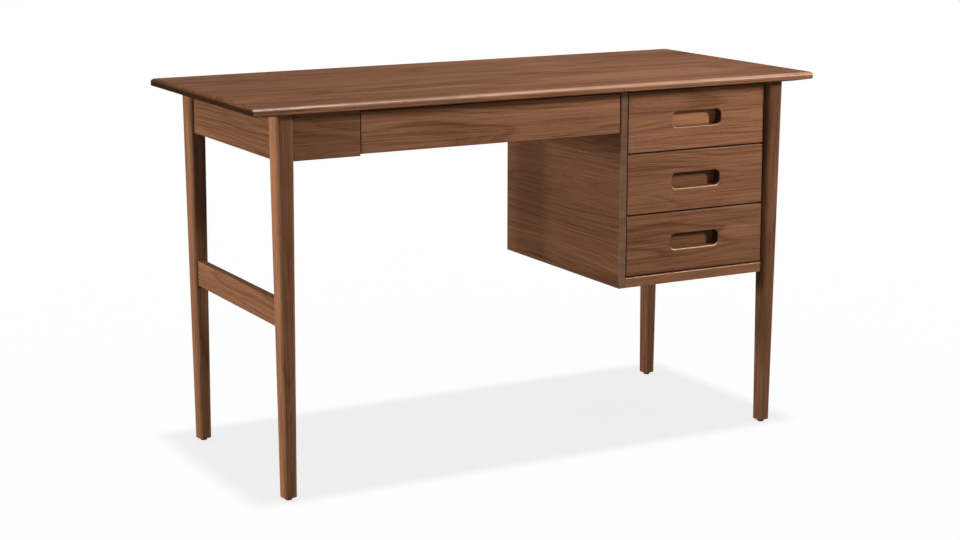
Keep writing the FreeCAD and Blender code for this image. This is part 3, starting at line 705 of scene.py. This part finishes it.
class ShapeSheet(NodeSheet):
    """A geometry node tree that sets one shape on every point that it is given."""

    def __init__(self, name, lengths):
        tree = bpy.data.node_groups.new(name, "GeometryNodeTree")
        super().__init__(tree)
        tree.interface.new_socket("Geometry", in_out="INPUT", socket_type="NodeSocketGeometry")
        tree.interface.new_socket("Geometry", in_out="OUTPUT", socket_type="NodeSocketGeometry")
        for length in lengths:
            tree.interface.new_socket(length, in_out="INPUT", socket_type="NodeSocketFloat")
        tree.interface.new_socket("Turn", in_out="INPUT", socket_type="NodeSocketVector")
        outputs = self.add("NodeGroupInput").socket.node.outputs
        self.given = {socket.name: Wire(self, socket) for socket in outputs if socket.name}

    def merged(self, pieces):
        node = self.tree.nodes.new("GeometryNodeJoinGeometry")
        for piece in pieces:
            self.tree.links.new(piece.socket, node.inputs[0])
        return Wire(self, node.outputs[0])

    def turned(self, stations, sides):
        """A solid turned about Z through stations of radius and height, from axis to axis."""
        rings = []
        for (radius, height), (next_radius, next_height) in zip(stations, stations[1:]):
            ring = self.add("GeometryNodeMeshCone", {"fill_type": "NONE"}, {
                "Vertices": sides,
                "Radius Bottom": radius,
                "Radius Top": next_radius,
                "Depth": next_height - height,
            })
            raised = {"Geometry": ring, "Translation": self.joined(0, 0, height)}
            rings.append(self.add("GeometryNodeTransform", inputs=raised))
        closed = {"Geometry": self.merged(rings), "Distance": MERGE_DISTANCE}
        return self.add("GeometryNodeMergeByDistance", inputs=closed)

    def on_points(self, shape, material):
        """Set the shape on every point, and end as a plain mesh of one material."""
        turn = self.add("FunctionNodeEulerToRotation", inputs={0: self.given["Turn"]})
        spread = self.add("GeometryNodeInstanceOnPoints",
                          inputs={"Points": self.given["Geometry"], "Instance": shape, "Rotation": turn})
        real = self.add("GeometryNodeRealizeInstances", inputs={0: spread})
        done = self.add("GeometryNodeSetMaterial", inputs={"Geometry": real, "Material": material})
        self.add("NodeGroupOutput", inputs={"Geometry": done})


def stations_of(shares, radius, height):
    """Stations of a turned form, from shares of its full radius and height."""
    return [(across_share * radius, up_share * height) for across_share, up_share in shares]


def repeated(node, points, tree, lengths, turn):
    """A piece made by a tree on points, with its lengths set, that stands for a node."""
    piece = new_piece(node)
    piece.data.from_pydata(points, [], [])
    modifier = piece.modifiers.new("shape", "NODES")
    modifier.node_group = tree
    values = {**lengths, "Turn": turn}
    for socket in tree.interface.items_tree:
        if socket.in_out == "INPUT" and socket.name in values:
            modifier[socket.identifier] = values[socket.name]
    settle(piece)
    smooth(piece.data)
    hand_over(piece, node)


SCREW_SIDES = 20
HEAD_HEIGHT = 2.5 * MILLIMETRE
SHANK_RADIUS = 2 * MILLIMETRE
HEAD_DOWN = (2 * QUARTER_TURN, 0, 0)
HEAD_BACK = (-QUARTER_TURN, 0, 0)

# The shank's straight length, as a share of all of it
SHANK_SHARE = 0.85

# Radius and height up the pan of a screw's head, as shares of the whole head's
HEAD_SHARES = ((1, 0), (1, 0.42), (0.93, 0.70), (0.74, 0.91), (0.48, 1), (0, 1))

# The cross recess, as shares of the head: length, width, and each arm's turn and depth
RECESS_LENGTH_SHARE = 1.05
RECESS_WIDTH_SHARE = 0.2
RECESS_ARMS = ((0, 0.6), (QUARTER_TURN, 0.55))


def screw_sheet(material):
    """A pan-head wood screw with a cross recess, head on +Z, seated at the origin."""
    sheet = ShapeSheet("pan_head_screw", ("Head radius", "Head height", "Shank radius", "Length"))
    head, rise = sheet.given["Head radius"], sheet.given["Head height"]
    shank, length = sheet.given["Shank radius"], sheet.given["Length"]
    stations = [(0 * shank, -1 * length), (shank, -SHANK_SHARE * length), (shank, 0 * length)]
    screw = sheet.turned(stations + stations_of(HEAD_SHARES, head, rise), SCREW_SIDES)
    top = sheet.joined(0, 0, rise)
    for turn, depth_share in RECESS_ARMS:
        size = sheet.joined(
            RECESS_LENGTH_SHARE * head,
            RECESS_WIDTH_SHARE * head,
            2 * depth_share * rise,
        )
        arm = sheet.add("GeometryNodeMeshCube", inputs={"Size": size})
        cutter = sheet.add("GeometryNodeTransform",
                           inputs={"Geometry": arm, "Translation": top, "Rotation": (0, 0, turn)})
        screw = sheet.add("GeometryNodeMeshBoolean", {"operation": "DIFFERENCE"},
                          {"Mesh 1": screw, "Mesh 2": cutter})
    sheet.on_points(screw, material)
    return sheet.tree


def dress_screws(node, tree):
    """Screws under the top stand head down; those in the drawers lie with their heads to the back."""
    boxes = solid_boxes(node)
    low, high = boxes[0]
    sides = high - low
    upright = node == "top_screws"
    length = sides.z if upright else sides.y
    lengths = {"Head radius": sides.x / 2, "Head height": HEAD_HEIGHT, "Shank radius": SHANK_RADIUS,
               "Length": length - HEAD_HEIGHT}
    seats = []
    for low, high in boxes:
        seat = (low + high) / 2
        if upright:
            seat.z = low.z + HEAD_HEIGHT
        else:
            seat.y = high.y - HEAD_HEIGHT
        seats.append(seat)
    repeated(node, seats, tree, lengths, HEAD_DOWN if upright else HEAD_BACK)


GLIDE_SIDES = 40
FOOT_HEIGHT = 6 * MILLIMETRE
STEM_RADIUS = 3 * MILLIMETRE
STEM_UP = (0, 0, 0)

# Radius and height up the foot of a glide, from its dished middle to its collar, as shares of the
# whole foot's
FOOT_SHARES = ((0, 0.1), (0.35, 0.06), (0.6, 0), (0.86, 0), (0.95, 0.1), (1, 0.32), (1, 0.72),
               (0.97, 0.85), (0.9, 0.9), (0.9, 1))

# The stem's bevelled tip: where it begins, as a share of the glide's height, and its end's radius
STEM_STRAIGHT_SHARE = 0.93
STEM_TIP_SHARE = 0.7


def glide_sheet(material):
    """A moulded glide: a dished foot with a rounded rim, a collar and a stem."""
    sheet = ShapeSheet("turned_glide", ("Radius", "Foot height", "Stem radius", "Height"))
    radius, foot = sheet.given["Radius"], sheet.given["Foot height"]
    stem, height = sheet.given["Stem radius"], sheet.given["Height"]
    stations = stations_of(FOOT_SHARES, radius, foot) + [
        (stem, foot),
        (stem, STEM_STRAIGHT_SHARE * height),
        (STEM_TIP_SHARE * stem, height),
        (0 * stem, height),
    ]
    sheet.on_points(sheet.turned(stations, GLIDE_SIDES), material)
    return sheet.tree


def dress_glides(node, tree):
    boxes = solid_boxes(node)
    low, high = boxes[0]
    lengths = {"Radius": (high.x - low.x) / 2, "Foot height": FOOT_HEIGHT, "Stem radius": STEM_RADIUS,
               "Height": high.z - low.z}
    seats = [Vector(((low.x + high.x) / 2, (low.y + high.y) / 2, low.z)) for low, high in boxes]
    repeated(node, seats, tree, lengths, STEM_UP)


screw_tree = screw_sheet(zinc_plate())
for node, slot in slot_of.items():
    if slot == "screw_steel":
        dress_screws(node, screw_tree)
dress_glides("leg_glides", glide_sheet(glide_plastic()))


# Floor and room: white all round, with the desk's soft shadow on the floor

FLOOR_REACH = 30
FLOOR_DROP = 0.2 * MILLIMETRE

# How bright the floor is as a lit surface, and how much of what the camera sees is glow or shade
FLOOR_LIGHTNESS = 0.8
FLOOR_GLOW = 0.783
FLOOR_SHADE = 0.64
ROOM_STRENGTH = 0.15


def grey(level):
    return (level, level, level, 1)


def seen_rays(sheet):
    """1 for what the camera sees, by itself, in a gloss or through glass."""
    camera_ray = sheet.add("ShaderNodeLightPath", output="Is Camera Ray")
    outputs = camera_ray.socket.node.outputs
    gloss = Wire(sheet, outputs["Is Glossy Ray"])
    glass = Wire(sheet, outputs["Is Transmission Ray"])
    return camera_ray.larger(gloss).larger(glass)


def white_floor():
    """Pale where it lights the desk; glowing white with the desk's shadow where the camera sees it."""
    material = bpy.data.materials.new("white_floor")
    material.use_nodes = True
    sheet = NodeSheet(material.node_tree)
    lit = sheet.add("ShaderNodeBsdfDiffuse", inputs={"Color": grey(FLOOR_LIGHTNESS)})
    shaded = sheet.add("ShaderNodeBsdfDiffuse", inputs={"Color": grey(FLOOR_SHADE)})
    glow = sheet.add("ShaderNodeEmission", inputs={"Color": WHITE, "Strength": FLOOR_GLOW})
    shown = sheet.add("ShaderNodeAddShader", inputs={0: glow, 1: shaded})
    surface = sheet.add("ShaderNodeMixShader", inputs={0: seen_rays(sheet), 1: lit, 2: shown})
    sheet.add("ShaderNodeOutputMaterial", inputs={"Surface": surface})
    return material


def lay_floor():
    mesh = bmesh.new()
    bmesh.ops.create_grid(mesh, x_segments=1, y_segments=1, size=FLOOR_REACH)
    bmesh.ops.translate(mesh, verts=mesh.verts, vec=(0, 0, -FLOOR_DROP))
    data = bpy.data.meshes.new("floor")
    mesh.to_mesh(data)
    mesh.free()
    data.materials.append(white_floor())
    piece = bpy.data.objects.new("floor", data)
    bpy.context.scene.collection.objects.link(piece)
    return piece


def light_room():
    """A world that lights the desk softly and is white where the camera sees it."""
    world = bpy.data.worlds.new("studio")
    bpy.context.scene.world = world
    world.use_nodes = True
    sheet = NodeSheet(world.node_tree)
    level = ROOM_STRENGTH + seen_rays(sheet) * (1 - ROOM_STRENGTH)
    room = sheet.add("ShaderNodeBackground", inputs={"Color": WHITE, "Strength": level})
    sheet.add("ShaderNodeOutputWorld", inputs={"Surface": room})


floor = lay_floor()
light_room()


# Lamps

DESK_MIDDLE = (0, 0, 0.45)
OVERHEAD = {"place": (0, -0.1, 3), "target": DESK_MIDDLE}
OVERHEAD_SPREAD = math.radians(4)
OVERHEAD_STRENGTH = 0.6

# Soft boxes: their light, and the boards besides the floor that it is kept off
SOFT_BOXES = {
    "left_box": {
        "place": (-1.9, 0.2, 2.2), "target": DESK_MIDDLE, "width": 0.6, "depth": 0.6,
        "power": 22, "spared": ("desk_top", "case_left_panel"),
    },
    "left_low_box": {
        "place": (-5, 0.8, 0.8), "target": DESK_MIDDLE, "width": 0.8, "depth": 0.6,
        "power": 470, "spared": ("desk_top",),
    },
    "key_box": {
        "place": (2.2, -2.2, 1.65), "target": DESK_MIDDLE, "width": 0.45, "depth": 0.45,
        "power": 128, "spared": (),
    },
    "fill_box": {
        "place": (-2.2, -2.6, 0.4), "target": DESK_MIDDLE, "width": 1, "depth": 0.8,
        "power": 16, "spared": (),
    },
    "top_box": {
        "place": (-0.1, -0.6, 2.4), "target": (-0.1, -0.2, 0.45), "width": 2.4, "depth": 0.15,
        "power": 32, "spared": (),
    },
}


def hang_lamp(data, place, target):
    """Put a lamp in its place and aim it."""
    lamp = bpy.data.objects.new(data.name, data)
    bpy.context.scene.collection.objects.link(lamp)
    lamp.location = place
    lamp.rotation_euler = (Vector(target) - Vector(place)).to_track_quat("-Z", "Y").to_euler()
    return lamp


def spare(lamp, pieces):
    """Keep a lamp's light off some pieces."""
    spared = bpy.data.collections.new(lamp.name + "_spares")
    for piece in pieces:
        spared.objects.link(piece)
    for link in spared.collection_objects:
        link.light_linking.link_state = "EXCLUDE"
    lamp.light_linking.receiver_collection = spared


def soft_box(name, place, target, width, depth, power, spared):
    data = bpy.data.lights.new(name, "AREA")
    data.shape = "RECTANGLE"
    data.size = width
    data.size_y = depth
    data.energy = power
    boards = [bpy.data.objects[node + "_finished"] for node in spared]
    spare(hang_lamp(data, place, target), [floor] + boards)


def overhead_light():
    data = bpy.data.lights.new("overhead", "SUN")
    data.angle = OVERHEAD_SPREAD
    data.energy = OVERHEAD_STRENGTH
    hang_lamp(data, **OVERHEAD)


overhead_light()
for name, box in SOFT_BOXES.items():
    soft_box(name, **box)


# Camera, fitted to the photograph's corners, feet and drawer lines

CAMERA_PLACE = (-1.9271, -3.4933, 1.1902)
CAMERA_YAW = math.radians(28.69)
CAMERA_PITCH = math.radians(12.05)
CAMERA_LENS = 75.1

camera_data = bpy.data.cameras.new("camera")
camera_data.sensor_fit = "HORIZONTAL"
camera_data.lens = CAMERA_LENS
camera = bpy.data.objects.new("camera", camera_data)
camera.location = CAMERA_PLACE
camera.rotation_euler = (QUARTER_TURN - CAMERA_PITCH, 0, -CAMERA_YAW)
bpy.context.scene.collection.objects.link(camera)
bpy.context.scene.camera = camera
bpy.context.scene.view_settings.view_transform = "Standard"
